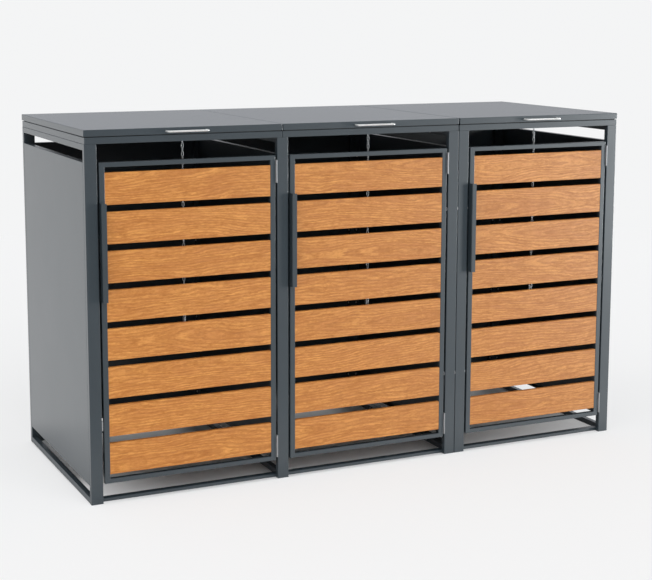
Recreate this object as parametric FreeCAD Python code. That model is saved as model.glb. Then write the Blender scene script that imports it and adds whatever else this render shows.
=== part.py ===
# Wheelie bin store for three 240-litre bins, in millimetres.
# A two-bay unit and a one-bay unit stand side by side, bolted together with washers between.
# +X runs along the front, +Y from front to back and +Z up. The origin is at the bottom centre
# of the closed store's bounding box, so the floor is at z = 0.
import FreeCAD, Part
import os

V = FreeCAD.Vector
X_DIR = V(1, 0, 0)
Y_DIR = V(0, 1, 0)
Z_DIR = V(0, 0, 1)

# Overall layout
module_width = 680.0
unit_gap = 2.0
depth = 800.0
post_height = 1177.0

# Steel tube sections
post_width = 40.0
post_depth = 20.0
rail_size = 20.0
tube_wall = 1.5
tube_corner = 1.5
threshold_height = 11.0
threshold_depth = 26.0

# Sheet wall trays and the openings above and below them
panel_sheet = 1.0
panel_corner = 1.2
panel_depth = 20.0
panel_bottom = 60.0
vent_height = 38.0

# Doors: upright tubes, with thinner level tubes between them
door_gap = 7.0
door_tube = 18.0
door_rail = 15.0
door_tube_corner = 1.4
door_bottom = 66.0
door_head_gap = 59.5

# Slats inside a door
slat_count = 8
slat_height = 103.5
slat_thickness = 16.0
slat_recess = 1.0
slat_foot_gap = 15.0
slat_head_gap = 17.5
slat_corner = 1.5

# Door handle: a channel folded from plate, open towards the hinge side
handle_bottom = 669.0
handle_length = 319.0
handle_plate = 2.5
handle_reach = 19.0
handle_base = 16.0
handle_lip = 17.0

# Door hinges: leaves in the gap, knuckles in front of it
door_hinge_length = 76.0
door_hinge_from_top = 15.0
door_hinge_from_bottom = 12.0
door_leaf_width = 15.0
door_leaf_setback = 1.0
door_knuckle_radius = 2.5
door_knuckle_stand_off = 0.3
door_pin_radius = 1.25

# Lids: folded trays that sit on rubber tape on a tube frame
lid_sheet = 1.5
lid_height = 21.0
lid_corner = 2.0
lid_overhang = 1.5
lid_seam = 2.0
lid_seat = 3.0
lid_return = 15.0
lid_frame_height = 21.5
lid_frame_seam = 2.0
lid_brace_width = 40.0
lid_brace_height = 8.0
lid_brace_sheet = 1.2
seal_width = 8.0
seal_inset = 5.0
seal_clearance = 0.2

# Lid hinges on the back
lid_hinge_length = 80.0
lid_hinge_from_side = 120.0
lid_knuckle_radius = 4.0
lid_pin_radius = 2.5
lid_leaf_start = 5.0
lid_leaf_end = 18.0

# Lid handle: a bow of round rod
bow_radius = 3.0
bow_length = 144.0
bow_reach = 26.5
bow_bend = 3.6
bow_from_top = 11.5

# Clearances shared by both kinds of hinge
leaf_thickness = 1.5
pin_clearance = 0.05
knuckle_clearance = 0.3

# Chain under each lid, with a screw link at its lower end
chain_setback = 40.0
chain_links = 44
chain_wire_radius = 1.1
chain_inner_length = 14.0
chain_inner_width = 4.6
chain_play = 0.2
screw_link_wire_radius = 2.0
screw_link_inner_length = 38.0
screw_link_inner_width = 10.0
screw_link_nut_radius = 3.75
screw_link_nut_length = 12.0

# Chain bracket inside the lid
bracket_plate = 2.0
bracket_size = 24.0
bracket_pin_radius = 2.0
bracket_pin_drop = 15.5
bracket_ear_radius = 6.0
bracket_ear_gap = 8.0

# Door catches and the strike plate in the first bay
catch_bottom = 830.0
catch_height = 40.0
catch_depth = 12.0
catch_panel_clearance = 1.0
catch_past_door_edge = 14.0
catch_nose_width = 10.0
catch_nose_gap = 0.3
strike_bottom = 245.0
strike_height = 32.0
strike_thickness = 3.5
strike_depth = 17.0
strike_setback = 0.5

# Connector bolts between the two units
bolt_radius = 3.0
bolt_hole_clearance = 0.25
bolt_head_radius = 7.0
bolt_head_height = 2.5
washer_radius = 9.0
post_bolt_heights = [300.0, 900.0]
rail_bolt_inset = 150.0

# Levels worked out from the sizes above
panel_top = post_height - rail_size - vent_height
door_top = post_height - door_head_gap
catch_on_post = (post_width - panel_depth) / 2 - catch_panel_clearance
frame_top = post_height + lid_frame_height
lid_bottom = frame_top + lid_seat
lid_top = lid_bottom + lid_height

# Front and back planes, with the origin midway between the handles and the lid hinges
front_reach = max(handle_reach, lid_overhang + bow_reach)
back_reach = 2 * lid_knuckle_radius
y_front = front_reach - (front_reach + depth + back_reach) / 2
y_back = y_front + depth
y_behind_posts = y_front + post_depth
y_before_back_posts = y_back - post_depth

# Bays from lid seam to lid seam; the posts and wall rails under them
first_unit_left = -(3 * module_width + unit_gap) / 2
second_unit_left = first_unit_left + 2 * module_width + unit_gap
bay_left = [first_unit_left, first_unit_left + module_width, second_unit_left]
wall_left_edge = [
    first_unit_left,
    first_unit_left + module_width,
    first_unit_left + 2 * module_width,
    second_unit_left,
    second_unit_left + module_width,
]
wall_share_left = [0.0, 0.5, 1.0, 0.0, 1.0]
post_left = [edge - share * post_width for edge, share in zip(wall_left_edge, wall_share_left)]
rail_left = [edge - share * rail_size for edge, share in zip(wall_left_edge, wall_share_left)]
panel_left = [edge - share * panel_depth for edge, share in zip(wall_left_edge, wall_share_left)]
walls_of_bay = [(wall, wall + 1) for wall in map(wall_left_edge.index, bay_left)]
bays = range(len(bay_left))


def box(x0, x1, y0, y1, z0, z1):
    return Part.makeBox(x1 - x0, y1 - y0, z1 - z0, V(x0, y0, z0))


def edges_along(shape, direction):
    found = []
    for edge in shape.Edges:
        run = edge.Vertexes[-1].Point.sub(edge.Vertexes[0].Point)
        if run.cross(direction).Length < 1e-6:
            found.append(edge)
    return found


def edges_in_plane(shape, direction, level):
    found = []
    for edge in shape.Edges:
        if all(abs(vertex.Point.dot(direction) - level) < 1e-6 for vertex in edge.Vertexes):
            found.append(edge)
    return found


def tube(x0, x1, y0, y1, z0, z1, direction, corner=tube_corner):
    """Rectangular tube with rounded long edges, open at both ends."""
    outer = box(x0, x1, y0, y1, z0, z1)
    outer = outer.makeFillet(corner, edges_along(outer, direction))
    inset = V(tube_wall, tube_wall, tube_wall)
    past_end = direction * (2 * tube_wall)
    low = V(x0, y0, z0) + inset - past_end
    high = V(x1, y1, z1) - inset + past_end
    return outer.cut(box(low.x, high.x, low.y, high.y, low.z, high.z))


def clear_span(bay):
    """Left and right edges of a bay between its posts."""
    left_wall, right_wall = walls_of_bay[bay]
    return post_left[left_wall] + post_width, post_left[right_wall]


def door_span(bay):
    left, right = clear_span(bay)
    return left + door_gap, right - door_gap


def bay_centre(bay):
    return bay_left[bay] + module_width / 2


def round_loop(wire_radius, inner_length, inner_width):
    """Long closed link of round wire, standing in the XZ plane about the origin."""
    bend = inner_width / 2 + wire_radius
    half = (inner_length - inner_width) / 2
    pieces = []
    for up in (1, -1):
        centre = V(0, 0, up * half)
        section = Part.Face(Part.Wire(Part.makeCircle(wire_radius, centre + X_DIR * bend, Z_DIR)))
        pieces.append(section.revolve(centre, Y_DIR * -up, 180))
    for side in (1, -1):
        pieces.append(Part.makeCylinder(wire_radius, 2 * half, V(side * bend, 0, -half), Z_DIR))
    return pieces[0].multiFuse(pieces[1:]).removeSplitter()


def hinge_leaf(length, knuckle_radius, pin_radius, plate_offset, plate_start, plate_end, segments):
    """One leaf about the local Z axis: the plate runs along +X, plate_offset below the axis."""
    leaf = box(plate_start, plate_end, -plate_offset, leaf_thickness - plate_offset,
               -length / 2, length / 2)
    for low, high in segments:
        strap = box(0, plate_start + leaf_thickness, -knuckle_radius, leaf_thickness - knuckle_radius,
                    low, high)
        knuckle = Part.makeCylinder(knuckle_radius, high - low, V(0, 0, low), Z_DIR)
        leaf = leaf.fuse([strap, knuckle])
    bore = Part.makeCylinder(pin_radius + pin_clearance, 2 * length, V(0, 0, -length), Z_DIR)
    return leaf.cut(bore).removeSplitter()


def outer_thirds(length):
    return [(-length / 2, -length / 6), (length / 6, length / 2)]


def middle_third(length):
    return [(-length / 6 + knuckle_clearance, length / 6 - knuckle_clearance)]


def placed(shape, along_x, along_y, position):
    """Copy of a shape with its local X and Y axes turned to the given directions."""
    turn = FreeCAD.Rotation(along_x, along_y, along_x.cross(along_y), "XYZ")
    copy = shape.copy()
    copy.Placement = FreeCAD.Placement(position, turn)
    return copy


def drilled(tube_shape, bolts, reach):
    """Tube with a clearance hole along X for each bolt that meets it."""
    for bolt_x, bolt_y, bolt_z in bolts:
        hole = Part.makeCylinder(bolt_radius + bolt_hole_clearance, reach,
                                 V(bolt_x, bolt_y, bolt_z), X_DIR)
        if tube_shape.BoundBox.intersect(hole.BoundBox):
            tube_shape = tube_shape.cut(hole)
    return tube_shape


def front_post(wall):
    left = post_left[wall]
    post = tube(left, left + post_width, y_front, y_behind_posts, 0, post_height, Z_DIR)
    return drilled(post, post_bolts(), 2 * post_width + unit_gap)


def back_post(wall):
    left = post_left[wall]
    return tube(left, left + post_width, y_before_back_posts, y_back, 0, post_height, Z_DIR)


def wall_rails(bottom):
    """Tubes at one level between the front and back posts of every wall."""
    rails = []
    for left in rail_left:
        rail = tube(left, left + rail_size, y_behind_posts, y_before_back_posts,
                    bottom, bottom + rail_size, Y_DIR)
        rails.append(drilled(rail, rail_bolts(), 2 * rail_size + unit_gap))
    return rails


def tray(x0, x1, y0, y1, outward):
    """Folded wall tray: a sheet on the side named by outward, with flanges all round."""
    outer = box(x0, x1, y0, y1, panel_bottom, panel_top)
    face = V(x1, y1, 0) if outward.x + outward.y > 0 else V(x0, y0, 0)
    outer = outer.makeFillet(panel_corner, edges_in_plane(outer, outward, face.dot(outward)))
    inset = V(panel_sheet, panel_sheet, panel_sheet)
    low = V(x0, y0, panel_bottom) + inset
    high = V(x1, y1, panel_top) - inset
    open_side = outward * (-2 * panel_sheet)
    hollow = box(low.x + min(open_side.x, 0), high.x + max(open_side.x, 0),
                 low.y + min(open_side.y, 0), high.y + max(open_side.y, 0), low.z, high.z)
    return outer.cut(hollow)


def wall_tray(wall, outward):
    left = panel_left[wall]
    return tray(left, left + panel_depth, y_behind_posts, y_before_back_posts, outward)


def back_tray(bay):
    left, right = clear_span(bay)
    return tray(left, right, y_back - panel_depth, y_back, Y_DIR)


def back_rails(bottom):
    rails = []
    for bay in bays:
        left, right = clear_span(bay)
        rails.append(tube(left, right, y_back - rail_size, y_back, bottom, bottom + rail_size, X_DIR))
    return rails


def threshold(bay):
    left_wall, right_wall = walls_of_bay[bay]
    return tube(rail_left[left_wall] + rail_size, rail_left[right_wall],
                y_behind_posts, y_behind_posts + threshold_depth, 0, threshold_height, X_DIR)


def mitred_ring(width, height, side_width, end_width, thickness, corner):
    """Four tubes round a rectangle in the local XY plane, mitred where sides meet ends."""
    left, right = side_width, width - side_width
    low, high = end_width, height - end_width
    outer = [V(0, 0, 0), V(width, 0, 0), V(width, height, 0), V(0, height, 0)]
    inner = [V(left, low, 0), V(right, low, 0), V(right, high, 0), V(left, high, 0)]
    bars = []
    for side in range(4):
        after = (side + 1) % 4
        outline = [outer[side], outer[after], inner[after], inner[side], outer[side]]
        wedge = Part.Face(Part.makePolygon(outline)).extrude(V(0, 0, thickness))
        reach = wedge.BoundBox
        direction = Y_DIR if side % 2 else X_DIR
        bar = tube(reach.XMin, reach.XMax, reach.YMin, reach.YMax, 0, thickness, direction, corner)
        bars.append(bar.common(wedge))
    return bars


def lid_frame(bay):
    """Ring of four tubes on top of the posts."""
    ring = mitred_ring(module_width - lid_frame_seam, depth, rail_size, rail_size,
                       lid_frame_height, tube_corner)
    corner = V(bay_left[bay] + lid_frame_seam / 2, y_front, post_height)
    return [placed(bar, X_DIR, Y_DIR, corner) for bar in ring]


def door_frame(bay):
    """Two upright tubes with a top and a bottom tube between them."""
    left, right = door_span(bay)
    ring = mitred_ring(right - left, door_top - door_bottom, door_tube, door_rail,
                       door_tube, door_tube_corner)
    return [placed(bar, X_DIR, Z_DIR, V(left, y_front + door_tube, door_bottom)) for bar in ring]


def door_slats(bay):
    left, right = door_span(bay)
    y0 = y_front + slat_recess
    lowest = door_bottom + door_rail + slat_foot_gap
    highest = door_top - door_rail - slat_head_gap
    pitch = (highest - lowest - slat_height) / (slat_count - 1)
    slats = []
    for number in range(slat_count):
        z0 = lowest + number * pitch
        slat = box(left + door_tube, right - door_tube, y0, y0 + slat_thickness, z0, z0 + slat_height)
        slats.append(slat.makeFillet(slat_corner, edges_along(slat, X_DIR)))
    return slats


def door_handle(bay):
    left = door_span(bay)[0]
    z0 = handle_bottom
    z1 = handle_bottom + handle_length
    front = y_front - handle_reach
    base = box(left, left + handle_base, y_front - handle_plate, y_front, z0, z1)
    web = box(left, left + handle_plate, front, y_front, z0, z1)
    lip = box(left, left + handle_lip, front, front + handle_plate, z0, z1)
    channel = base.fuse([web, lip]).removeSplitter()
    outer_corner = []
    for edge in edges_along(channel, Z_DIR):
        point = edge.Vertexes[0].Point
        if abs(point.x - left) < 1e-6 and abs(point.y - front) < 1e-6:
            outer_corner.append(edge)
    return channel.makeFillet(handle_plate, outer_corner)


def door_hinge_axis(bay):
    right = clear_span(bay)[1]
    return right - door_gap / 2, y_front - door_knuckle_radius - door_knuckle_stand_off


def door_hinge_middles():
    low = door_bottom + door_hinge_from_bottom + door_hinge_length / 2
    high = door_top - door_hinge_from_top - door_hinge_length / 2
    return low, high


def door_leaves(bay, along_y, segments):
    """Both leaves of one door's hinges, on the side of the gap that along_y points away from."""
    x, y = door_hinge_axis(bay)
    plate_start = y_front + door_leaf_setback - y
    leaf = hinge_leaf(door_hinge_length, door_knuckle_radius, door_pin_radius, door_gap / 2,
                      plate_start, plate_start + door_leaf_width, segments)
    return [placed(leaf, Y_DIR, along_y, V(x, y, z)) for z in door_hinge_middles()]


def door_hinge_pins(bay):
    x, y = door_hinge_axis(bay)
    half = door_hinge_length / 2
    return [Part.makeCylinder(door_pin_radius, door_hinge_length, V(x, y, z - half), Z_DIR)
            for z in door_hinge_middles()]


def lid_span(bay):
    left = bay_left[bay]
    right = left + module_width
    left_end = left - lid_overhang if bay == 0 else left + lid_seam / 2
    right_end = right + lid_overhang if bay == len(bay_left) - 1 else right - lid_seam / 2
    return left_end, right_end


def lid_shell(bay):
    """Folded tray with a return flange below, and a channel brace across it."""
    left, right = lid_span(bay)
    front = y_front - lid_overhang
    outer = box(left, right, front, y_back, lid_bottom, lid_top)
    rounded = edges_along(outer, Z_DIR) + edges_in_plane(outer, Z_DIR, lid_top)
    outer = outer.makeFillet(lid_corner, rounded)
    cavity = box(left + lid_sheet, right - lid_sheet, front + lid_sheet, y_back - lid_sheet,
                 lid_bottom + lid_sheet, lid_top - lid_sheet)
    rim = lid_sheet + lid_return
    mouth = box(left + rim, right - rim, front + rim, y_back - rim,
                lid_bottom - lid_sheet, lid_bottom + 2 * lid_sheet)
    middle = (front + y_back) / 2
    half = lid_brace_width / 2
    roof = lid_top - lid_sheet
    brace = box(left + lid_sheet, right - lid_sheet, middle - half, middle + half,
                roof - lid_brace_height, roof)
    channel = box(left, right, middle - half + lid_brace_sheet, middle + half - lid_brace_sheet,
                  roof - lid_brace_height + lid_brace_sheet, roof + lid_sheet)
    return [outer.cut([cavity, mouth]), brace.cut(channel)]


def bow_handle(bay):
    """Round rod bent twice, its feet on the lid's front skirt."""
    centre = bay_centre(bay)
    z = lid_top - bow_from_top
    y_foot = y_front - lid_overhang
    y_bar = y_foot - bow_reach + bow_radius
    half = bow_length / 2 - bow_radius
    bend = bow_bend
    slant = bend * (1 - 0.5 ** 0.5)
    left = centre - half
    right = centre + half
    path = [
        Part.LineSegment(V(left, y_foot, z), V(left, y_bar + bend, z)).toShape(),
        Part.Arc(V(left, y_bar + bend, z), V(left + slant, y_bar + slant, z),
                 V(left + bend, y_bar, z)).toShape(),
        Part.LineSegment(V(left + bend, y_bar, z), V(right - bend, y_bar, z)).toShape(),
        Part.Arc(V(right - bend, y_bar, z), V(right - slant, y_bar + slant, z),
                 V(right, y_bar + bend, z)).toShape(),
        Part.LineSegment(V(right, y_bar + bend, z), V(right, y_foot, z)).toShape(),
    ]
    section = Part.Wire(Part.makeCircle(bow_radius, V(left, y_foot, z), Y_DIR))
    return Part.Wire(path).makePipeShell([section], True, False)


def lid_hinge_axis():
    return y_back + lid_knuckle_radius, frame_top + lid_seat / 2


def lid_hinge_middles(bay):
    left = bay_left[bay]
    return left + lid_hinge_from_side, left + module_width - lid_hinge_from_side


def lid_leaves(bay, along_x, segments):
    """Both leaves of one lid's hinges, running down or up from the axis."""
    y, z = lid_hinge_axis()
    leaf = hinge_leaf(lid_hinge_length, lid_knuckle_radius, lid_pin_radius, lid_knuckle_radius,
                      lid_leaf_start, lid_leaf_end, segments)
    return [placed(leaf, along_x, Y_DIR, V(x, y, z)) for x in lid_hinge_middles(bay)]


def lid_hinge_pins(bay):
    y, z = lid_hinge_axis()
    half = lid_hinge_length / 2
    return [Part.makeCylinder(lid_pin_radius, lid_hinge_length, V(x - half, y, z), X_DIR)
            for x in lid_hinge_middles(bay)]


def lid_seals():
    """Rubber tape on the front and sides of every lid frame."""
    top = lid_bottom - seal_clearance
    front = y_front + seal_inset
    back = y_back - seal_inset
    strips = []
    for bay in bays:
        left = bay_left[bay] + lid_frame_seam / 2 + seal_inset
        right = bay_left[bay] + module_width - lid_frame_seam / 2 - seal_inset
        strips.append(box(left, right, front, front + seal_width, frame_top, top))
        for x0 in (left, right - seal_width):
            strips.append(box(x0, x0 + seal_width, front + seal_width, back, frame_top, top))
    return strips


def chain_top(bay):
    """Centre of the bracket pin that the chain hangs from."""
    return V(bay_centre(bay), y_front + chain_setback, lid_top - lid_sheet - bracket_pin_drop)


def chain_bracket(bay):
    """Plate under the lid's roof with two ears and the pin between them."""
    pin = chain_top(bay)
    roof = lid_top - lid_sheet
    half = bracket_size / 2
    base = box(pin.x - half, pin.x + half, pin.y - half, pin.y + half, roof - bracket_plate, roof)
    pieces = []
    for inner in (-bracket_ear_gap / 2 - bracket_plate, bracket_ear_gap / 2):
        x0 = pin.x + inner
        pieces.append(box(x0, x0 + bracket_plate, pin.y - bracket_ear_radius,
                          pin.y + bracket_ear_radius, pin.z, roof))
        pieces.append(Part.makeCylinder(bracket_ear_radius, bracket_plate, V(x0, pin.y, pin.z), X_DIR))
    width = bracket_ear_gap + 2 * bracket_plate
    pieces.append(Part.makeCylinder(bracket_pin_radius, width,
                                    V(pin.x - width / 2, pin.y, pin.z), X_DIR))
    return base.fuse(pieces).removeSplitter()


def chain(bay):
    """Links that hang through each other from the bracket pin, and the screw link below."""
    pin = chain_top(bay)
    link = round_loop(chain_wire_radius, chain_inner_length, chain_inner_width)
    pitch = chain_inner_length - chain_play
    first = pin.z + chain_inner_width / 2 - chain_inner_length / 2
    links = []
    for number in range(chain_links):
        centre = V(pin.x, pin.y, first - number * pitch)
        across = X_DIR if number % 2 else Y_DIR
        upright = Y_DIR if number % 2 else X_DIR * -1
        links.append(placed(link, across, upright, centre))
    last_inner_end = first - (chain_links - 1) * pitch - chain_inner_length / 2
    screw_link = round_loop(screw_link_wire_radius, screw_link_inner_length, screw_link_inner_width)
    side = screw_link_inner_width / 2 + screw_link_wire_radius
    nut = Part.makeCylinder(screw_link_nut_radius, screw_link_nut_length,
                            V(side, 0, -screw_link_nut_length / 2), Z_DIR)
    screw_link = screw_link.fuse(nut).removeSplitter()
    centre = V(pin.x, pin.y, last_inner_end + chain_play - screw_link_inner_length / 2)
    turned = chain_links % 2
    across = X_DIR if turned else Y_DIR
    upright = Y_DIR if turned else X_DIR * -1
    links.append(placed(screw_link, across, upright, centre))
    return links


def door_catches():
    """Magnet blocks behind the posts, each with a nose behind the door's free edge."""
    catches = []
    for bay in bays:
        post_edge = clear_span(bay)[0]
        door_edge = door_span(bay)[0]
        body = box(post_edge - catch_on_post, door_edge + catch_past_door_edge,
                   y_behind_posts, y_behind_posts + catch_depth,
                   catch_bottom, catch_bottom + catch_height)
        nose_left = door_edge + (door_tube - catch_nose_width) / 2
        nose_front = y_front + door_tube + catch_nose_gap
        nose = box(nose_left, nose_left + catch_nose_width, nose_front, y_behind_posts,
                   catch_bottom, catch_bottom + catch_height)
        catches.append(body.fuse(nose).removeSplitter())
    return catches


def strike_plate():
    post_edge = clear_span(0)[0]
    y0 = y_front + strike_setback
    return box(post_edge, post_edge + strike_thickness, y0, y0 + strike_depth,
               strike_bottom, strike_bottom + strike_height)


def post_bolts():
    """Left ends of the bolts through the two front posts at the joint of the units."""
    y = y_front + post_depth / 2
    return [(post_left[2], y, z) for z in post_bolt_heights]


def rail_bolts():
    """Left ends of the bolts through the wall rails at the joint of the units."""
    bolts = []
    for z in (rail_size / 2, post_height - rail_size / 2):
        for y in (y_behind_posts + rail_bolt_inset, y_before_back_posts - rail_bolt_inset):
            bolts.append((rail_left[2], y, z))
    return bolts


def frame_bolts():
    """Connector bolts with low round heads, and a washer between the units on each."""
    pieces = []
    for bolts, thickness in ((post_bolts(), post_width), (rail_bolts(), rail_size)):
        grip = 2 * thickness + unit_gap
        for x, y, z in bolts:
            shank = Part.makeCylinder(bolt_radius, grip, V(x, y, z), X_DIR)
            heads = [Part.makeCylinder(bolt_head_radius, bolt_head_height, V(head_x, y, z), X_DIR)
                     for head_x in (x - bolt_head_height, x + grip)]
            pieces.append(shank.fuse(heads).removeSplitter())
            start = V(x + thickness, y, z)
            washer = Part.makeCylinder(washer_radius, unit_gap, start, X_DIR)
            hole = Part.makeCylinder(bolt_radius + bolt_hole_clearance, unit_gap, start, X_DIR)
            pieces.append(washer.cut(hole))
    return pieces


def build_nodes():
    nodes = {}
    for wall in range(len(wall_left_edge)):
        nodes[f"front_post_{wall + 1}"] = front_post(wall)
        nodes[f"back_post_{wall + 1}"] = back_post(wall)
    nodes["wall_bottom_rails"] = wall_rails(0)
    nodes["wall_top_rails"] = wall_rails(post_height - rail_size)
    nodes["back_bottom_rails"] = back_rails(0)
    nodes["back_top_rails"] = back_rails(post_height - rail_size)
    nodes["left_wall_panel"] = wall_tray(0, X_DIR * -1)
    nodes["divider_panel_1"] = wall_tray(1, X_DIR * -1)
    nodes["divider_panel_2"] = wall_tray(2, X_DIR)
    nodes["right_wall_panel"] = wall_tray(4, X_DIR)
    door_hinge_fixed = []
    lid_hinge_fixed = []
    for bay in bays:
        number = bay + 1
        nodes[f"back_panel_{number}"] = back_tray(bay)
        nodes[f"threshold_{number}"] = threshold(bay)
        nodes[f"lid_frame_{number}"] = lid_frame(bay)
        nodes[f"door_{number}_frame"] = door_frame(bay)
        nodes[f"door_{number}_slats"] = door_slats(bay)
        nodes[f"door_{number}_handle"] = door_handle(bay)
        nodes[f"door_{number}_hinge_leaves"] = door_leaves(bay, X_DIR, middle_third(door_hinge_length))
        nodes[f"lid_{number}_shell"] = lid_shell(bay)
        nodes[f"lid_{number}_handle"] = bow_handle(bay)
        nodes[f"lid_{number}_hinge_leaves"] = lid_leaves(bay, Z_DIR, middle_third(lid_hinge_length))
        nodes[f"lid_{number}_chain_bracket"] = chain_bracket(bay)
        nodes[f"chain_{number}"] = chain(bay)
        door_hinge_fixed += door_leaves(bay, X_DIR * -1, outer_thirds(door_hinge_length))
        door_hinge_fixed += door_hinge_pins(bay)
        lid_hinge_fixed += lid_leaves(bay, Z_DIR * -1, outer_thirds(lid_hinge_length))
        lid_hinge_fixed += lid_hinge_pins(bay)
    nodes["door_hinge_post_leaves"] = door_hinge_fixed
    nodes["lid_hinge_frame_leaves"] = lid_hinge_fixed
    nodes["lid_seals"] = lid_seals()
    nodes["door_catches"] = door_catches()
    nodes["strike_plate"] = strike_plate()
    nodes["frame_bolts"] = frame_bolts()
    return nodes


def export(nodes):
    os.makedirs("parts", exist_ok=True)
    for name, pieces in nodes.items():
        if isinstance(pieces, list):
            solids = [solid for piece in pieces for solid in piece.Solids]
            shape = Part.makeCompound(solids)
        else:
            shape = pieces
        if not shape.isValid() or not shape.Solids:
            raise ValueError(f"{name} is not a valid solid")
        shape.exportStep(f"parts/{name}.step")
    print(len(nodes), "nodes")


export(build_nodes())
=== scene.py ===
# Wheelie bin store: finishes, fasteners, floor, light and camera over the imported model.
# Metres, +X along the front, +Y from front to back, +Z up, as in the model.
import math

import bmesh
import bpy
from mathutils import Matrix, Vector


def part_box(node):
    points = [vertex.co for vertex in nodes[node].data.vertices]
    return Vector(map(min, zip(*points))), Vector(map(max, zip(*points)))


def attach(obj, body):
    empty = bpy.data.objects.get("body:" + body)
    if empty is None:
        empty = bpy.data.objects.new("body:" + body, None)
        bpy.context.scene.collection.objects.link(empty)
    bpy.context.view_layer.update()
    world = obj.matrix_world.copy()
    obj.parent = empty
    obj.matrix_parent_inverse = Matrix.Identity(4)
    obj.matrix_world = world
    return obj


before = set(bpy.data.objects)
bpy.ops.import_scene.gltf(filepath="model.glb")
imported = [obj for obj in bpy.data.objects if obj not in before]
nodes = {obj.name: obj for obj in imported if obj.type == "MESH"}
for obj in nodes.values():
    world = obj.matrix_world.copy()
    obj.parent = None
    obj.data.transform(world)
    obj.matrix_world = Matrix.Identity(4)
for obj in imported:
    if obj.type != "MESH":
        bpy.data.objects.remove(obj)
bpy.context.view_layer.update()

BAYS = (1, 2, 3)
LEFT_SEAM = -1.021
BAY_PITCH = 0.68
SLATS = 8
SLAT_LOWEST = 0.096
SLAT_HEIGHT = 0.1035
SLAT_PITCH = 0.1265
BACK_TO_FRONT = Vector((0, -1, 0))
FRONT_TO_BACK = Vector((0, 1, 0))
TO_RIGHT = Vector((1, 0, 0))
TO_LEFT = Vector((-1, 0, 0))


# Shader building

def plug(tree, socket, source):
    if isinstance(source, bpy.types.NodeSocket):
        tree.links.new(source, socket)
    else:
        socket.default_value = source


def shader_node(tree, kind, settings=None, inputs=None):
    made = tree.nodes.new("ShaderNode" + kind)
    for name, value in (settings or {}).items():
        setattr(made, name, value)
    for name, source in (inputs or {}).items():
        plug(tree, made.inputs[name], source)
    return made


def calculate(tree, operation, *values):
    made = shader_node(tree, "Math", {"operation": operation})
    for socket, value in zip(made.inputs, values):
        plug(tree, socket, value)
    return made.outputs[0]


def spread(tree, value, low, high, new_low=0.0, new_high=1.0):
    """Value carried from one range to another, and held inside it."""
    made = shader_node(tree, "MapRange", {"clamp": True}, {
        "Value": value, "From Min": low, "From Max": high, "To Min": new_low, "To Max": new_high})
    return made.outputs["Result"]


def from_noise(tree, value, new_low=0.0, new_high=1.0):
    """Noise carried from the range that it mostly fills to another."""
    return spread(tree, value, 0.3, 0.7, new_low, new_high)


def blended(tree, factor, first, second):
    made = shader_node(tree, "Mix", {"data_type": "RGBA"})
    plug(tree, made.inputs[0], factor)
    plug(tree, made.inputs[6], first)
    plug(tree, made.inputs[7], second)
    return made.outputs[2]


def noise(tree, vector, scale, detail, roughness):
    made = shader_node(tree, "TexNoise", {"normalize": True}, {
        "Vector": vector, "Scale": scale, "Detail": detail, "Roughness": roughness})
    return made.outputs["Fac"]


def stretched_noise(tree, vector, cells, detail, roughness):
    """Noise with its own number of cells per metre along each axis."""
    scaled = shader_node(tree, "Mapping", None, {"Vector": vector, "Scale": cells})
    return noise(tree, scaled.outputs["Vector"], 1.0, detail, roughness)


def new_group(name, inputs, outputs):
    """Empty shader group with its inputs' start values; returns the tree and both ends."""
    tree = bpy.data.node_groups.new(name, "ShaderNodeTree")
    for label, kind, value in inputs:
        socket = tree.interface.new_socket(label, in_out="INPUT", socket_type="NodeSocket" + kind)
        if value is not None:
            socket.default_value = value
    for label, kind in outputs:
        tree.interface.new_socket(label, in_out="OUTPUT", socket_type="NodeSocket" + kind)
    return tree, tree.nodes.new("NodeGroupInput"), tree.nodes.new("NodeGroupOutput")


def use_group(tree, group, inputs):
    made = tree.nodes.new("ShaderNodeGroup")
    made.node_tree = group
    for name, source in inputs.items():
        plug(tree, made.inputs[name], source)
    return made.outputs


# How alike the rounded and the flat normal are where the painted edge highlight starts and where
# it is full
FLAT_LIKENESS = 0.995
EDGE_LIKENESS = 0.85

# Cells of noise per metre; the streaks' are along X, Y and Z
HIGHLIGHT_PATCHES = 45.0
COAT_CLOUDS = 3.5
BRUSHED_LEVEL = (40.0, 2500.0, 2500.0)
BRUSHED_UPRIGHT = (2500.0, 2500.0, 40.0)
PLATED = (500.0, 500.0, 500.0)


def painted_edge_highlight():
    """Mask of a painted edge highlight: white along convex edges, broken up by noise."""
    tree, given, out = new_group(
        "painted edge highlight",
        [("Vector", "Vector", None), ("Width", "Float", 0.002), ("Break Up", "Float", 0.4)],
        [("Mask", "Float")])
    rounded = shader_node(tree, "Bevel", {"samples": 4}, {"Radius": given.outputs["Width"]})
    flat = shader_node(tree, "NewGeometry")
    alike = shader_node(tree, "VectorMath", {"operation": "DOT_PRODUCT"}, {
        0: rounded.outputs["Normal"], 1: flat.outputs["Normal"]})
    edge = spread(tree, alike.outputs["Value"], FLAT_LIKENESS, EDGE_LIKENESS)
    patches = noise(tree, given.outputs["Vector"], HIGHLIGHT_PATCHES, 5.0, 0.65)
    floor_level = calculate(tree, "SUBTRACT", 1.0, given.outputs["Break Up"])
    kept = calculate(tree, "MULTIPLY_ADD", patches, given.outputs["Break Up"], floor_level)
    plug(tree, out.inputs["Mask"], calculate(tree, "MULTIPLY", edge, kept))
    return tree


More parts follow.
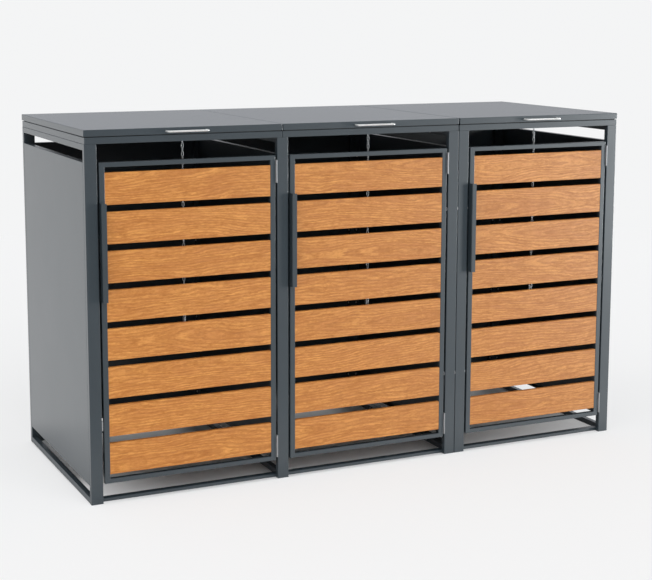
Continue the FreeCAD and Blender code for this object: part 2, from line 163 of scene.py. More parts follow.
def coated_grain():
    """Height of a fine powder coat: small grain over a slow orange-peel ripple."""
    tree, given, out = new_group(
        "coated grain",
        [("Vector", "Vector", None), ("Grain Scale", "Float", 900.0),
         ("Ripple Scale", "Float", 160.0), ("Ripple Share", "Float", 0.4)],
        [("Height", "Float"), ("Cloud", "Float")])
    grain = noise(tree, given.outputs["Vector"], given.outputs["Grain Scale"], 2.0, 0.6)
    ripple = noise(tree, given.outputs["Vector"], given.outputs["Ripple Scale"], 1.0, 0.4)
    mixed = shader_node(tree, "Mix", {"data_type": "FLOAT"})
    plug(tree, mixed.inputs[0], given.outputs["Ripple Share"])
    plug(tree, mixed.inputs[2], grain)
    plug(tree, mixed.inputs[3], ripple)
    plug(tree, out.inputs["Height"], mixed.outputs[0])
    plug(tree, out.inputs["Cloud"], noise(tree, given.outputs["Vector"], COAT_CLOUDS, 4.0, 0.6))
    return tree


def brushed_streaks():
    """Fine parallel scratches, long in the direction with the fewest cells."""
    tree, given, out = new_group(
        "brushed streaks",
        [("Vector", "Vector", None), ("Streak Scale", "Vector", BRUSHED_LEVEL)],
        [("Streaks", "Float")])
    scaled = shader_node(tree, "VectorMath", {"operation": "MULTIPLY"}, {
        0: given.outputs["Vector"], 1: given.outputs["Streak Scale"]})
    plug(tree, out.inputs["Streaks"], noise(tree, scaled.outputs["Vector"], 1.0, 3.0, 0.7))
    return tree


# Number of the first door's lowest slat, and the step from door to door
FIRST_SLAT_NUMBER = 3.0
SLAT_NUMBERS_PER_DOOR = 11.0

# Oak: how far the random numbers carry a slat through the pattern
SLAT_SHIFT_ALONG = 9.0
SLAT_SHIFT_ACROSS = 5.0
LAYER_SHIFT = 7.0
PORE_SHIFT = (24.0, 0.0, 0.0)

# Oak: cells per metre along, into and across a slat; layers run along and through the rings
BEND_CELLS = (3.0, 6.0, 8.0)
WOBBLE_CELLS = (12.0, 30.0, 45.0)
JITTER_CELLS = (45.0, 150.0, 260.0)
RUN_CELLS = (2.0, 2.0, 4.0)
FIGURE_CELLS = (7.0, 62.0, 1.0)
FINE_FIBRE_CELLS = (50.0, 190.0, 210.0)
BROAD_FIBRE_CELLS = (16.0, 95.0, 1.0)
PATCH_CELLS = (2.2, 3.0, 9.0)
PORES_ALONG = 26.0

# Oak: metres from the heart of the tree, and how far each noise moves a ring
HEART_RANGE = 0.20
HEART_ROUNDING = 0.012
RING_BEND = 0.045
RING_RUN = 0.105
RING_WOBBLE = 0.014
RING_JITTER = 0.0070

# Oak: where in a ring it is darkest, how suddenly, and from where it has all its pores
DARKEST_IN_RING = 0.75
LATE_WOOD_POWER = 2.2
ALL_PORES_FROM = 0.6
PORES_IN_EARLY_WOOD = 0.35
PORE_NOISE = (0.56, 0.70)

# Oak: the first pattern's share where two are mixed
BROAD_FIBRE_SHARE = 0.6
PLANK_TONE_SHARE = 0.55


def plank_numbers():
    """For a point on a slat: its place within the slat and three random numbers of that slat."""
    tree, given, out = new_group(
        "plank numbers",
        [("Vector", "Vector", None)],
        [("Along", "Float"), ("Deep", "Float"), ("Across", "Float"),
         ("Random A", "Float"), ("Random B", "Float"), ("Random C", "Float")])
    place = shader_node(tree, "SeparateXYZ", None, {0: given.outputs["Vector"]})
    gap = SLAT_PITCH - SLAT_HEIGHT
    above_lowest = calculate(tree, "SUBTRACT", place.outputs["Z"], SLAT_LOWEST - gap / 2)
    counted = calculate(tree, "DIVIDE", above_lowest, SLAT_PITCH)
    slat = calculate(tree, "FLOOR", counted)
    from_left = calculate(tree, "SUBTRACT", place.outputs["X"], LEFT_SEAM)
    door = calculate(tree, "FLOOR", calculate(tree, "DIVIDE", from_left, BAY_PITCH))
    number = calculate(tree, "MULTIPLY_ADD", door, SLAT_NUMBERS_PER_DOOR, slat)
    dice = shader_node(tree, "TexWhiteNoise", {"noise_dimensions": "1D"}, {
        "W": calculate(tree, "ADD", number, FIRST_SLAT_NUMBER)})
    random = shader_node(tree, "SeparateColor", None, {0: dice.outputs["Color"]})
    from_middle = calculate(tree, "SUBTRACT", calculate(tree, "FRACT", counted), 0.5)
    plug(tree, out.inputs["Along"], place.outputs["X"])
    plug(tree, out.inputs["Deep"], place.outputs["Y"])
    plug(tree, out.inputs["Across"], calculate(tree, "MULTIPLY", from_middle, SLAT_PITCH))
    for name, channel in (("Random A", "Red"), ("Random B", "Green"), ("Random C", "Blue")):
        plug(tree, out.inputs[name], random.outputs[channel])
    return tree


def oak_grain(numbers):
    """Growth rings cut lengthways, fibres, and pores, different on every slat."""
    tree, given, out = new_group(
        "oak grain",
        [("Vector", "Vector", None), ("Rings Per Metre", "Float", 104.0),
         ("Fibre Scale", "Float", 700.0)],
        [("Rings", "Float"), ("Fibres", "Float"), ("Pores", "Float"), ("Tone", "Float"),
         ("Figure", "Float")])
    plank = use_group(tree, numbers, {"Vector": given.outputs["Vector"]})
    along = calculate(tree, "MULTIPLY_ADD", plank["Random A"], SLAT_SHIFT_ALONG, plank["Along"])
    across = plank["Across"]
    shifted = calculate(tree, "MULTIPLY_ADD", plank["Random C"], SLAT_SHIFT_ACROSS, across)
    spot = shader_node(tree, "CombineXYZ", None, {
        "X": along, "Y": plank["Deep"], "Z": shifted}).outputs[0]

    # Distance from the heart, rounded off near it and disturbed by noise
    bend = stretched_noise(tree, spot, BEND_CELLS, 2.0, 0.5)
    wobble = stretched_noise(tree, spot, WOBBLE_CELLS, 3.0, 0.55)
    jitter = stretched_noise(tree, spot, JITTER_CELLS, 4.0, 0.65)
    run = stretched_noise(tree, spot, RUN_CELLS, 1.0, 0.4)
    heart = calculate(tree, "MULTIPLY", calculate(tree, "SUBTRACT", plank["Random B"], 0.5),
                      HEART_RANGE)
    off_heart = calculate(tree, "MULTIPLY_ADD", calculate(tree, "SUBTRACT", bend, 0.5), RING_BEND,
                          calculate(tree, "ADD", across, heart))
    radius = calculate(tree, "SQRT", calculate(
        tree, "MULTIPLY_ADD", off_heart, off_heart, HEART_ROUNDING ** 2))
    for disturbance, reach in ((run, RING_RUN), (wobble, RING_WOBBLE), (jitter, RING_JITTER)):
        radius = calculate(tree, "MULTIPLY_ADD", disturbance, reach, radius)
    ring = calculate(tree, "FRACT", calculate(
        tree, "MULTIPLY", radius, given.outputs["Rings Per Metre"]))
    rise = spread(tree, ring, 0.0, DARKEST_IN_RING)
    fall = spread(tree, ring, DARKEST_IN_RING, 1.0, 1.0, 0.0)
    late_wood = calculate(tree, "MULTIPLY", calculate(tree, "POWER", rise, LATE_WOOD_POWER), fall)

    # Figure and broad fibres follow the rings; fine fibres and pores follow the slat
    layers = shader_node(tree, "CombineXYZ", None, {
        "X": along, "Y": radius,
        "Z": calculate(tree, "MULTIPLY", plank["Random A"], LAYER_SHIFT)}).outputs[0]
    figure = stretched_noise(tree, layers, FIGURE_CELLS, 6.0, 0.72)
    fine_fibres = stretched_noise(tree, spot, FINE_FIBRE_CELLS, 4.0, 0.75)
    broad_fibres = stretched_noise(tree, layers, BROAD_FIBRE_CELLS, 6.0, 0.76)
    fibres = calculate(tree, "MULTIPLY_ADD", broad_fibres, BROAD_FIBRE_SHARE, calculate(
        tree, "MULTIPLY", fine_fibres, 1 - BROAD_FIBRE_SHARE))
    pore_cells = shader_node(tree, "CombineXYZ", None, {
        "X": PORES_ALONG, "Y": given.outputs["Fibre Scale"], "Z": given.outputs["Fibre Scale"]})
    pore_spot = shader_node(tree, "VectorMath", {"operation": "MULTIPLY_ADD"}, {
        0: spot, 1: pore_cells.outputs[0], 2: PORE_SHIFT})
    pores = spread(tree, noise(tree, pore_spot.outputs["Vector"], 1.0, 2.0, 0.5), *PORE_NOISE)
    pores = calculate(tree, "MULTIPLY", pores, spread(
        tree, late_wood, 0.0, ALL_PORES_FROM, PORES_IN_EARLY_WOOD, 1.0))
    patchy = stretched_noise(tree, spot, PATCH_CELLS, 3.0, 0.5)
    tone = calculate(tree, "MULTIPLY_ADD", plank["Random C"], PLANK_TONE_SHARE, calculate(
        tree, "MULTIPLY", patchy, 1 - PLANK_TONE_SHARE))
    plug(tree, out.inputs["Rings"], late_wood)
    plug(tree, out.inputs["Fibres"], fibres)
    plug(tree, out.inputs["Pores"], pores)
    plug(tree, out.inputs["Tone"], tone)
    plug(tree, out.inputs["Figure"], figure)
    return tree


EDGE_HIGHLIGHT = painted_edge_highlight()
COAT = coated_grain()
STREAKS = brushed_streaks()
OAK = oak_grain(plank_numbers())


def new_material(name, metallic=0.0):
    """Material with a plain Principled shader; returns it, its tree, the shader and a place."""
    material = bpy.data.materials.new(name)
    material.use_nodes = True
    tree = material.node_tree
    shader = tree.nodes["Principled BSDF"]
    shader.inputs["Metallic"].default_value = metallic
    shader.inputs["IOR"].default_value = 1.5
    place = shader_node(tree, "TexCoord").outputs["Object"]
    return material, tree, shader, place


def raised(tree, shader, height, distance, strength):
    bump = shader_node(tree, "Bump", None, {
        "Height": height, "Distance": distance, "Strength": strength})
    plug(tree, shader.inputs["Normal"], bump.outputs["Normal"])


def powder_coat(name, dark, light, edge, roughness, highlight_share=0.5, gloss=0.90, gloss_roughness=0.22):
    """Rough pigment under a smooth clear layer that shows at grazing angles."""
    material, tree, shader, place = new_material(name)
    coat = use_group(tree, COAT, {"Vector": place})
    colour = blended(tree, from_noise(tree, coat["Cloud"]), dark, light)
    # Convex edges are painted lighter: a painted edge highlight, which also stands for the
    # thinner coat there
    painted_edge = use_group(tree, EDGE_HIGHLIGHT, {"Vector": place, "Width": 0.0016, "Break Up": 0.5})
    colour = blended(tree, calculate(tree, "MULTIPLY", painted_edge["Mask"], highlight_share), colour, edge)
    plug(tree, shader.inputs["Base Color"], colour)
    plug(tree, shader.inputs["Roughness"], from_noise(
        tree, coat["Cloud"], roughness - 0.03, roughness + 0.04))
    shader.inputs["Coat Weight"].default_value = gloss
    shader.inputs["Coat Roughness"].default_value = gloss_roughness
    raised(tree, shader, coat["Height"], 0.00012, 0.7)
    return material


# Oak, from the ground up: pattern, where it starts and is full, its share there, its colour
OAK_TONES = ((0.570, 0.224, 0.048, 1), (0.500, 0.186, 0.037, 1))
OAK_LAYERS = (
    ("Figure", 0.37, 0.64, 0.78, (0.740, 0.335, 0.072, 1)),
    ("Rings", 0.0, 1.0, 0.62, (0.370, 0.120, 0.012, 1)),
    ("Fibres", 0.44, 0.62, 0.90, (0.385, 0.126, 0.010, 1)),
    ("Pores", 0.0, 1.0, 0.45, (0.240, 0.075, 0.014, 1)),
)


def oiled_oak():
    material, tree, shader, place = new_material("oiled oak")
    oak = use_group(tree, OAK, {"Vector": place})
    base = blended(tree, oak["Tone"], *OAK_TONES)
    for pattern, start, full, share, colour in OAK_LAYERS:
        base = blended(tree, spread(tree, oak[pattern], start, full, 0.0, share), base, colour)
    plug(tree, shader.inputs["Base Color"], base)
    plug(tree, shader.inputs["Roughness"], from_noise(tree, oak["Fibres"], 0.62, 0.72))
    height = calculate(tree, "SUBTRACT", calculate(tree, "MULTIPLY", oak["Fibres"], 0.5),
                       oak["Pores"])
    raised(tree, shader, height, 0.00018, 0.8)
    return material


def bare_metal(name, colour, streak_scale, roughness, edge, metallic, highlight_share=0.4, dulled=0.82):
    material, tree, shader, place = new_material(name, metallic)
    brushed = use_group(tree, STREAKS, {"Vector": place, "Streak Scale": streak_scale})
    dull = tuple(dulled * part for part in colour) + (1,)
    base = blended(tree, from_noise(tree, brushed["Streaks"]), dull, colour + (1,))
    # Convex edges are painted lighter: a painted edge highlight
    painted_edge = use_group(tree, EDGE_HIGHLIGHT, {"Vector": place, "Width": 0.0008, "Break Up": 0.3})
    base = blended(tree, calculate(tree, "MULTIPLY", painted_edge["Mask"], highlight_share), base, edge + (1,))
    plug(tree, shader.inputs["Base Color"], base)
    plug(tree, shader.inputs["Roughness"], from_noise(
        tree, brushed["Streaks"], roughness - 0.07, roughness + 0.08))
    raised(tree, shader, brushed["Streaks"], 0.00004, 0.5)
    return material


def moulded(name, colour, roughness, grain_scale, brightened=1.35):
    material, tree, shader, place = new_material(name)
    coat = use_group(tree, COAT, {"Vector": place, "Grain Scale": grain_scale,
                                  "Ripple Share": 0.2})
    paler = tuple(brightened * part for part in colour)
    base = blended(tree, coat["Height"], colour + (1,), paler + (1,))
    plug(tree, shader.inputs["Base Color"], base)
    plug(tree, shader.inputs["Roughness"], from_noise(
        tree, coat["Cloud"], roughness - 0.05, roughness + 0.05))
    raised(tree, shader, coat["Height"], 0.00010, 0.6)
    return material


# Coat tones dark and light, the painted edge-highlight colour, and roughness
ANTHRACITE = powder_coat("anthracite powder coat", (0.0220, 0.0340, 0.0430, 1),
                         (0.0270, 0.0400, 0.0500, 1), (0.090, 0.110, 0.125, 1), 0.66)
OAK_SLATS = oiled_oak()
# Metals: colour, streaks, roughness, painted edge-highlight colour and metallic
STAINLESS = bare_metal("brushed stainless steel", (0.90, 0.90, 0.89),
                       BRUSHED_LEVEL, 0.30, (0.95, 0.95, 0.95), 0.5)
# The door hinges' stainless is brushed upright and painted much darker than the lid's: painted
# shade that tones down the sheen's glare on it
SHADED_UPRIGHT_STAINLESS = bare_metal("shaded upright brushed stainless steel", (0.34, 0.35, 0.36),
                               BRUSHED_UPRIGHT, 0.50, (0.50, 0.50, 0.50), 0.35)
ZINC = bare_metal("zinc plated steel", (0.44, 0.45, 0.46),
                  PLATED, 0.50, (0.60, 0.61, 0.62), 0.7)
RUBBER = moulded("black rubber", (0.018, 0.018, 0.018), 0.75, 1400.0)
CATCH_PLASTIC = moulded("catch plastic", (0.035, 0.036, 0.038), 0.50, 1100.0)


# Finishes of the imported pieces

def finish(name, material):
    piece = nodes[name]
    piece.data.materials.clear()
    piece.data.materials.append(material)


for name in nodes:
    finish(name, ANTHRACITE)
for bay in BAYS:
    finish(f"door_{bay}_slats", OAK_SLATS)
    finish(f"door_{bay}_hinge_leaves", SHADED_UPRIGHT_STAINLESS)
    finish(f"lid_{bay}_handle", STAINLESS)
    finish(f"lid_{bay}_hinge_leaves", STAINLESS)
    finish(f"lid_{bay}_chain_bracket", ZINC)
    finish(f"chain_{bay}", ZINC)
finish("door_hinge_post_leaves", SHADED_UPRIGHT_STAINLESS)
finish("lid_hinge_frame_leaves", STAINLESS)
finish("strike_plate", SHADED_UPRIGHT_STAINLESS)
finish("frame_bolts", ZINC)
finish("lid_seals", RUBBER)
finish("door_catches", CATCH_PLASTIC)


# Screws and rivets, which only the scene has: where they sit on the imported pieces

LEAF_SHEET = 0.0015
DOOR_GAP = 0.007
HINGE_SCREW_SETBACK = 0.0085
DOOR_HINGE_MIDDLE = 0.0395
DOOR_HINGE_SCREW_STEP = 0.027
SLAT_SCREW_STEP = 0.028
CLEAR_OF_DOOR_HINGE = 0.085
HANDLE_RIVET_SHARES = (0.12, 0.5, 0.88)
HANDLE_RIVET_INSET = 0.0098
HANDLE_PLATE = 0.0025
LID_HINGE_MIDDLE = 0.040
LID_HINGE_SCREW_STEP = 0.028
LID_SCREW_BELOW_TOP = 0.0062
FRAME_SCREW_BELOW = 0.0073
TRAY_SHEET = 0.001
TRAY_SCREW_OFFSET = 0.002
TRAY_SCREW_HEIGHTS = (0.12, 0.42, 0.72, 1.02)


def facing(place, direction):
    """Matrix that carries local +Z to a direction at a place."""
    turn = Vector((0, 0, 1)).rotation_difference(Vector(direction)).to_matrix().to_4x4()
    return Matrix.Translation(place) @ turn


def copies(name, template, placings, material, body):
    """One piece made of a copy of a shape at every placing."""
    shape = bmesh.new()
    for placing in placings:
        before = len(shape.verts)
        shape.from_mesh(template)
        shape.verts.ensure_lookup_table()
        bmesh.ops.transform(shape, matrix=placing, verts=shape.verts[before:])
    mesh = bpy.data.meshes.new(name)
    shape.to_mesh(mesh)
    shape.free()
    piece = bpy.data.objects.new(name, mesh)
    bpy.context.scene.collection.objects.link(piece)
    mesh.materials.append(material)
    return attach(piece, body)


def screw_head(radius, height, top_share=0.72, rim_share=0.26, lobe_share=0.68, socket_share=0.6):
    """Low domed head with a six-lobed socket, its underside on the XY plane."""
    shape = bmesh.new()
    bmesh.ops.create_cone(shape, cap_ends=True, cap_tris=False, segments=12,
                          radius1=radius, radius2=radius * top_share, depth=height,
                          matrix=Matrix.Translation((0, 0, height / 2)))
    top = max(shape.faces, key=lambda face: face.calc_center_median().z)
    bmesh.ops.inset_region(shape, faces=[top], thickness=radius * rim_share)
    socket = sorted(top.verts, key=lambda corner: math.atan2(corner.co.y, corner.co.x))
    for corner in socket[::2]:
        corner.co.x *= lobe_share
        corner.co.y *= lobe_share
    deep = bmesh.ops.extrude_discrete_faces(shape, faces=[top])["faces"]
    bmesh.ops.translate(shape, verts=deep[0].verts, vec=(0, 0, -height * socket_share))
    mesh = bpy.data.meshes.new("screw head")
    shape.to_mesh(mesh)
    shape.free()
    return mesh


HINGE_SCREW = screw_head(0.0026, 0.0010)
LID_SCREW = screw_head(0.0032, 0.0014)
SHEET_SCREW = screw_head(0.0045, 0.0024)
SLAT_SCREW = screw_head(0.0034, 0.0008)


def door_fasteners(bay):
    door_low, door_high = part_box(f"door_{bay}_frame")
    leaf_low, leaf_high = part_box(f"door_{bay}_hinge_leaves")
    handle_low, handle_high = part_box(f"door_{bay}_handle")
    leaf_y = door_low.y + HINGE_SCREW_SETBACK
    on_door = []
    on_post = []
    for middle in (leaf_low.z + DOOR_HINGE_MIDDLE, leaf_high.z - DOOR_HINGE_MIDDLE):
        for z in (middle - DOOR_HINGE_SCREW_STEP, middle, middle + DOOR_HINGE_SCREW_STEP):
            on_door.append(facing((door_high.x + LEAF_SHEET, leaf_y, z), TO_RIGHT))
            on_post.append(facing((door_high.x + DOOR_GAP - LEAF_SHEET, leaf_y, z), TO_LEFT))
    copies(f"door_{bay}_hinge_screws", HINGE_SCREW, on_door, SHADED_UPRIGHT_STAINLESS,
           f"door_{bay}")
    copies(f"post_hinge_screws_{bay}", HINGE_SCREW, on_post, SHADED_UPRIGHT_STAINLESS,
           "store_frame")
    through_stiles = []
    for slat in range(SLATS):
        middle = SLAT_LOWEST + SLAT_HEIGHT / 2 + slat * SLAT_PITCH
        for z in (middle - SLAT_SCREW_STEP, middle + SLAT_SCREW_STEP):
            through_stiles.append(facing((door_low.x, leaf_y, z), TO_LEFT))
            if leaf_low.z + CLEAR_OF_DOOR_HINGE < z < leaf_high.z - CLEAR_OF_DOOR_HINGE:
                through_stiles.append(facing((door_high.x, leaf_y, z), TO_RIGHT))
    copies(f"door_{bay}_slat_screws", SLAT_SCREW, through_stiles, ANTHRACITE,
           f"door_{bay}")
    rivets = []
    for share in HANDLE_RIVET_SHARES:
        place = (door_low.x + HANDLE_RIVET_INSET, door_low.y - HANDLE_PLATE,
                 handle_low.z + share * (handle_high.z - handle_low.z))
        rivets.append(facing(place, BACK_TO_FRONT))
    copies(f"door_{bay}_handle_screws", LID_SCREW, rivets, ANTHRACITE,
           f"door_{bay}")


def lid_fasteners(bay):
    leaf_low, leaf_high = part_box(f"lid_{bay}_hinge_leaves")
    frame_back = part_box(f"lid_frame_{bay}")[1].y
    on_lid = []
    on_frame = []
    y = frame_back + LEAF_SHEET
    for middle in (leaf_low.x + LID_HINGE_MIDDLE, leaf_high.x - LID_HINGE_MIDDLE):
        for x in (middle - LID_HINGE_SCREW_STEP, middle, middle + LID_HINGE_SCREW_STEP):
            on_lid.append(facing((x, y, leaf_high.z - LID_SCREW_BELOW_TOP), FRONT_TO_BACK))
            on_frame.append(facing((x, y, leaf_low.z - FRAME_SCREW_BELOW), FRONT_TO_BACK))
    copies(f"lid_{bay}_hinge_screws", LID_SCREW, on_lid, STAINLESS,
           f"lid_{bay}")
    copies(f"frame_hinge_screws_{bay}", LID_SCREW, on_frame, STAINLESS,
           "store_frame")


def wall_fasteners():
    """Screws through the flanges of the wall and back trays, from the inside."""
    placings = []
    for name, open_side in (("left_wall_panel", 1), ("divider_panel_1", 1),
                            ("divider_panel_2", -1), ("right_wall_panel", -1)):
        low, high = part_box(name)
        x = (low.x + high.x) / 2 + open_side * TRAY_SCREW_OFFSET
        for z in TRAY_SCREW_HEIGHTS:
            placings.append(facing((x, low.y + TRAY_SHEET, z), FRONT_TO_BACK))
            placings.append(facing((x, high.y - TRAY_SHEET, z), BACK_TO_FRONT))
    for bay in BAYS:
        low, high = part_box(f"back_panel_{bay}")
        y = (low.y + high.y) / 2 - TRAY_SCREW_OFFSET
        for z in TRAY_SCREW_HEIGHTS:
            placings.append(facing((low.x + TRAY_SHEET, y, z), TO_RIGHT))
            placings.append(facing((high.x - TRAY_SHEET, y, z), TO_LEFT))
    copies("tray_screws", SHEET_SCREW, placings, ZINC, "store_frame")


for bay in BAYS:
    door_fasteners(bay)
    lid_fasteners(bay)
wall_fasteners()


# Floor, light and camera

BACKDROP = (0.905, 0.910, 0.915, 1)
WORLD_COLOUR = (0.97, 0.98, 1.0, 1)
WORLD_LIGHT = 0.31
SHEEN_COLOUR = (0.96, 1.0, 1.02)

# What reflections show of the room, and the ray's Y between which its front turns to its back
ROOM_IN_FRONT = (0.08, 0.09, 0.10, 1)
ROOM_BEHIND = (0.575, 0.585, 0.615, 1)
ROOM_TURNS = (-0.4, 0.2)

# The floor's share of the backdrop: even outside the store, darker at its edge, whole far off
FLOOR_COLOUR = (0.88, 0.882, 0.885, 1)
FLOOR_LEVEL = -0.0004
FLOOR_RADIUS = 60.0
FLOOR_EVENNESS = 0.70
EDGE_DARKENING = 0.10
EDGE_REACH = 0.03
FADE_TO_BACKDROP = (0.6, 5.0)
HALF_FOOTPRINT = (1.0225, 0.390, 0.0)
OUTSIDE_FROM = 0.0005

# Painted light on the floor inside, as if from under the end walls: brightest at, gone at, power,
# share
PAINTED_LIGHT_UNDER_END_WALLS = ((-1.02, -0.60, 2.0, 0.55), (1.02, 0.27, 1.4, 0.36))
END_WALL_LIGHT_DEPTH = (-0.06, -0.21)

# Painted light from under the backs: full share, depth, power, and where in each bay's width it
# reaches
PAINTED_LIGHT_UNDER_BACK = 0.22
BACK_LIGHT_DEPTH = (0.06, 0.41)
BACK_LIGHT_POWER = 1.5
CLEAR_OF_LEFT_WALL = (0.12, 0.30)
CLEAR_OF_RIGHT_WALL = (0.88, 0.74)

# What reflections show of the floor: the backdrop, with painted shade near the store and in front
# of it
MIRRORED_FLOOR_SHADE = (0.30, 0.31, 0.32, 1)
MIRRORED_FLOOR_REACH = 0.30
MIRRORED_FLOOR_POWER = 0.7
MIRRORED_FLOOR_EVENNESS = 0.9
MIRRORED_FLOOR_START = 0.02
MIRRORED_IN_FRONT = (-0.5, -1.5)

CAMERA_PLACE = (-2.2753, -4.8021, 1.5805)
CAMERA_HEADING = -25.654
CAMERA_DOWNWARD = 8.396
CAMERA_ROLL = 0.18
CAMERA_LENS = 79.823
CAMERA_SHIFT = (-0.0097, -0.0941)


def seen_directly(tree):
    """1 for rays that show a surface or its mirror image, 0 for rays that carry its light."""
    ray = shader_node(tree, "LightPath")
    shown = calculate(tree, "MAXIMUM", ray.outputs["Is Camera Ray"], ray.outputs["Is Glossy Ray"])
    return calculate(tree, "MAXIMUM", shown, ray.outputs["Is Transmission Ray"])


def studio():
    """Even light from all round; it shows white, and grey where reflections face the room."""
    scene = bpy.context.scene
    scene.view_settings.view_transform = "Standard"
    world = bpy.data.worlds.new("studio")
    scene.world = world
    world.use_nodes = True
    tree = world.node_tree
    background = tree.nodes["Background"]
    background.inputs["Color"].default_value = WORLD_COLOUR
    background.inputs["Strength"].default_value = WORLD_LIGHT
    direction = shader_node(tree, "SeparateXYZ", None, {
        0: shader_node(tree, "TexCoord").outputs["Generated"]})
    behind = spread(tree, direction.outputs["Y"], *ROOM_TURNS)
    shade = blended(tree, behind, ROOM_IN_FRONT, ROOM_BEHIND)
    ray = shader_node(tree, "LightPath")
    shade = blended(tree, ray.outputs["Is Glossy Ray"], BACKDROP, shade)
    seen = shader_node(tree, "Background", None, {"Color": shade, "Strength": 1.0})
    mixed = shader_node(tree, "MixShader", None, {0: seen_directly(tree)})
    tree.links.new(background.outputs[0], mixed.inputs[1])
    tree.links.new(seen.outputs[0], mixed.inputs[2])
    tree.links.new(mixed.outputs[0], tree.nodes["World Output"].inputs["Surface"])


def distance_from_store(tree, place):
    """Distance on the floor from the store's footprint, and 0 under it."""
    one_corner = shader_node(tree, "VectorMath", {"operation": "ABSOLUTE"}, {0: place})
    outside = shader_node(tree, "VectorMath", {"operation": "SUBTRACT"}, {
        0: one_corner.outputs["Vector"], 1: HALF_FOOTPRINT})
    beyond = shader_node(tree, "VectorMath", {"operation": "MAXIMUM"}, {
        0: outside.outputs["Vector"], 1: (0.0, 0.0, 0.0)})
    length = shader_node(tree, "VectorMath", {"operation": "LENGTH"}, {
        0: beyond.outputs["Vector"]})
    return length.outputs["Value"]


def share_outside(tree, distance):
    """Share of the backdrop in the floor around the store."""
    near = spread(tree, distance, 0.0, EDGE_REACH, FLOOR_EVENNESS - EDGE_DARKENING,
                  FLOOR_EVENNESS)
    near = calculate(tree, "MULTIPLY", near, calculate(
        tree, "GREATER_THAN", distance, OUTSIDE_FROM))
    return calculate(tree, "MAXIMUM", near, spread(tree, distance, *FADE_TO_BACKDROP))


def painted_light_inside(tree, x, y):
    """Share of the backdrop in the floor inside: painted light where light would come in below
    the sheets.
    """
    shares = []
    for brightest, gone, power, share in PAINTED_LIGHT_UNDER_END_WALLS:
        glow = calculate(tree, "POWER", spread(tree, x, gone, brightest), power)
        reached = spread(tree, y, *END_WALL_LIGHT_DEPTH, 0.0, share)
        shares.append(calculate(tree, "MULTIPLY", glow, reached))
    glow = calculate(tree, "POWER", spread(tree, y, *BACK_LIGHT_DEPTH), BACK_LIGHT_POWER)
    across_bay = calculate(tree, "FRACT", calculate(
        tree, "DIVIDE", calculate(tree, "ADD", x, HALF_FOOTPRINT[0]), BAY_PITCH))
    clear_of_walls = calculate(
        tree, "MULTIPLY", spread(tree, across_bay, *CLEAR_OF_LEFT_WALL),
        spread(tree, across_bay, *CLEAR_OF_RIGHT_WALL, 0.0, PAINTED_LIGHT_UNDER_BACK))
    shares.append(calculate(tree, "MULTIPLY", glow, clear_of_walls))
    largest = shares[0]
    for share in shares[1:]:
        largest = calculate(tree, "MAXIMUM", largest, share)
    return largest


def mirrored_floor(tree, distance, y):
    """Share of the backdrop in reflections of the floor, and its colour for every ray: painted
    shade near the store and in front of it.
    """
    mirror = shader_node(tree, "LightPath").outputs["Is Glossy Ray"]
    in_front = spread(tree, y, *MIRRORED_IN_FRONT)
    close = calculate(tree, "POWER", spread(tree, distance, 0.0, MIRRORED_FLOOR_REACH),
                      MIRRORED_FLOOR_POWER)
    darkened = calculate(tree, "MAXIMUM", in_front, calculate(tree, "SUBTRACT", 1.0, close))
    share = calculate(tree, "MULTIPLY", mirror, spread(
        tree, distance, 0.0, MIRRORED_FLOOR_START, 0.0, MIRRORED_FLOOR_EVENNESS))
    colour = blended(tree, calculate(tree, "MULTIPLY", mirror, darkened),
                     BACKDROP, MIRRORED_FLOOR_SHADE)
    return share, colour


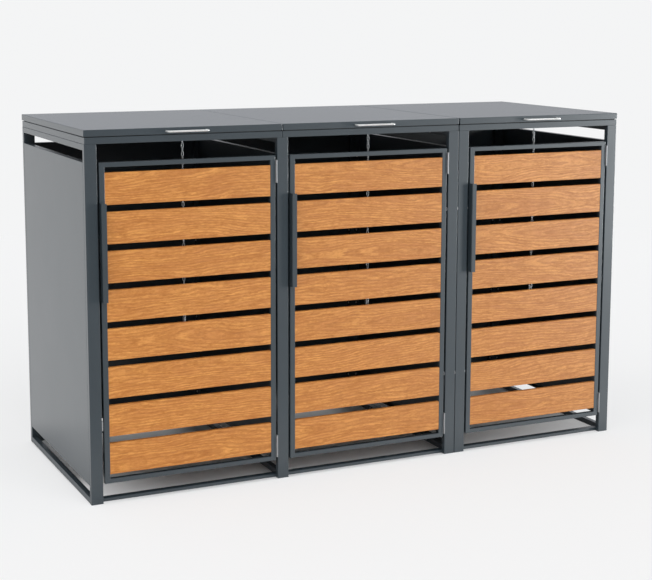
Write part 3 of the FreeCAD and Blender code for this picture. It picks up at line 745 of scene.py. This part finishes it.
def floor():
    """Pale disc: dark enough for a shadow under the store, the backdrop's white far from it,
    painted light on it inside and painted shade in its reflections.
    """
    shape = bmesh.new()
    bmesh.ops.create_circle(shape, cap_ends=True, segments=64, radius=FLOOR_RADIUS,
                            matrix=Matrix.Translation((0, 0, FLOOR_LEVEL)))
    mesh = bpy.data.meshes.new("floor")
    shape.to_mesh(mesh)
    shape.free()
    piece = bpy.data.objects.new("floor", mesh)
    bpy.context.scene.collection.objects.link(piece)
    material, tree, shader, place = new_material("pale floor")
    shader.inputs["Base Color"].default_value = FLOOR_COLOUR
    shader.inputs["Roughness"].default_value = 0.85
    shader.inputs["Specular IOR Level"].default_value = 0.0
    distance = distance_from_store(tree, place)
    parts = shader_node(tree, "SeparateXYZ", None, {0: place})
    x, y = parts.outputs["X"], parts.outputs["Y"]
    share = calculate(tree, "MAXIMUM", share_outside(tree, distance), painted_light_inside(tree, x, y))
    mirror_share, colour = mirrored_floor(tree, distance, y)
    share = calculate(tree, "MAXIMUM", share, mirror_share)
    backdrop = shader_node(tree, "Emission", None, {"Color": colour, "Strength": 1.0})
    mixed = shader_node(tree, "MixShader", None, {
        0: calculate(tree, "MULTIPLY", share, seen_directly(tree))})
    tree.links.new(shader.outputs[0], mixed.inputs[1])
    tree.links.new(backdrop.outputs[0], mixed.inputs[2])
    tree.links.new(mixed.outputs[0], tree.nodes["Material Output"].inputs["Surface"])
    mesh.materials.append(material)


def aimed_lamp(name, kind, place, aim, power):
    data = bpy.data.lights.new(name, kind)
    data.energy = power
    lamp = bpy.data.objects.new(name, data)
    bpy.context.scene.collection.objects.link(lamp)
    lamp.location = place
    lamp.rotation_euler = (Vector(aim) - Vector(place)).to_track_quat("-Z", "Y").to_euler()
    return lamp


def soft_sun(name, place, power, degrees, mirrored):
    lamp = aimed_lamp(name, "SUN", place, (0, 0, 0), power)
    lamp.data.angle = math.radians(degrees)
    lamp.visible_glossy = mirrored


def sheen_box(name, place, aim, width, height, power):
    """Softbox that only shows in reflections, as a sheen on coats and wood."""
    lamp = aimed_lamp(name, "AREA", place, aim, power)
    lamp.data.shape = "RECTANGLE"
    lamp.data.size = width
    lamp.data.size_y = height
    lamp.data.color = SHEEN_COLOUR
    lamp.visible_diffuse = False


def camera():
    data = bpy.data.cameras.new("camera")
    data.sensor_fit = "HORIZONTAL"
    data.sensor_width = 36.0
    data.lens = CAMERA_LENS
    data.shift_x, data.shift_y = CAMERA_SHIFT
    data.clip_end = 200.0
    made = bpy.data.objects.new("camera", data)
    bpy.context.scene.collection.objects.link(made)
    pan = Matrix.Rotation(math.radians(CAMERA_HEADING), 4, "Z")
    tilt = Matrix.Rotation(math.radians(90 - CAMERA_DOWNWARD), 4, "X")
    roll = Matrix.Rotation(math.radians(CAMERA_ROLL), 4, "Z")
    made.matrix_world = Matrix.Translation(CAMERA_PLACE) @ pan @ tilt @ roll
    bpy.context.scene.camera = made


studio()
floor()
soft_sun("front light", (0.4, -4.0, 2.8), power=1.85, degrees=60, mirrored=False)
soft_sun("overhead light", (-1.0, 0.5, 5.0), power=0.95, degrees=90, mirrored=True)
soft_sun("left light", (-4.0, -0.5, 2.0), power=0.8, degrees=60, mirrored=False)
sheen_box("sheen from the right", (3.8, -2.3, 1.0), aim=(0.0, -0.4, 0.7),
          width=1.0, height=1.9, power=262)
camera()
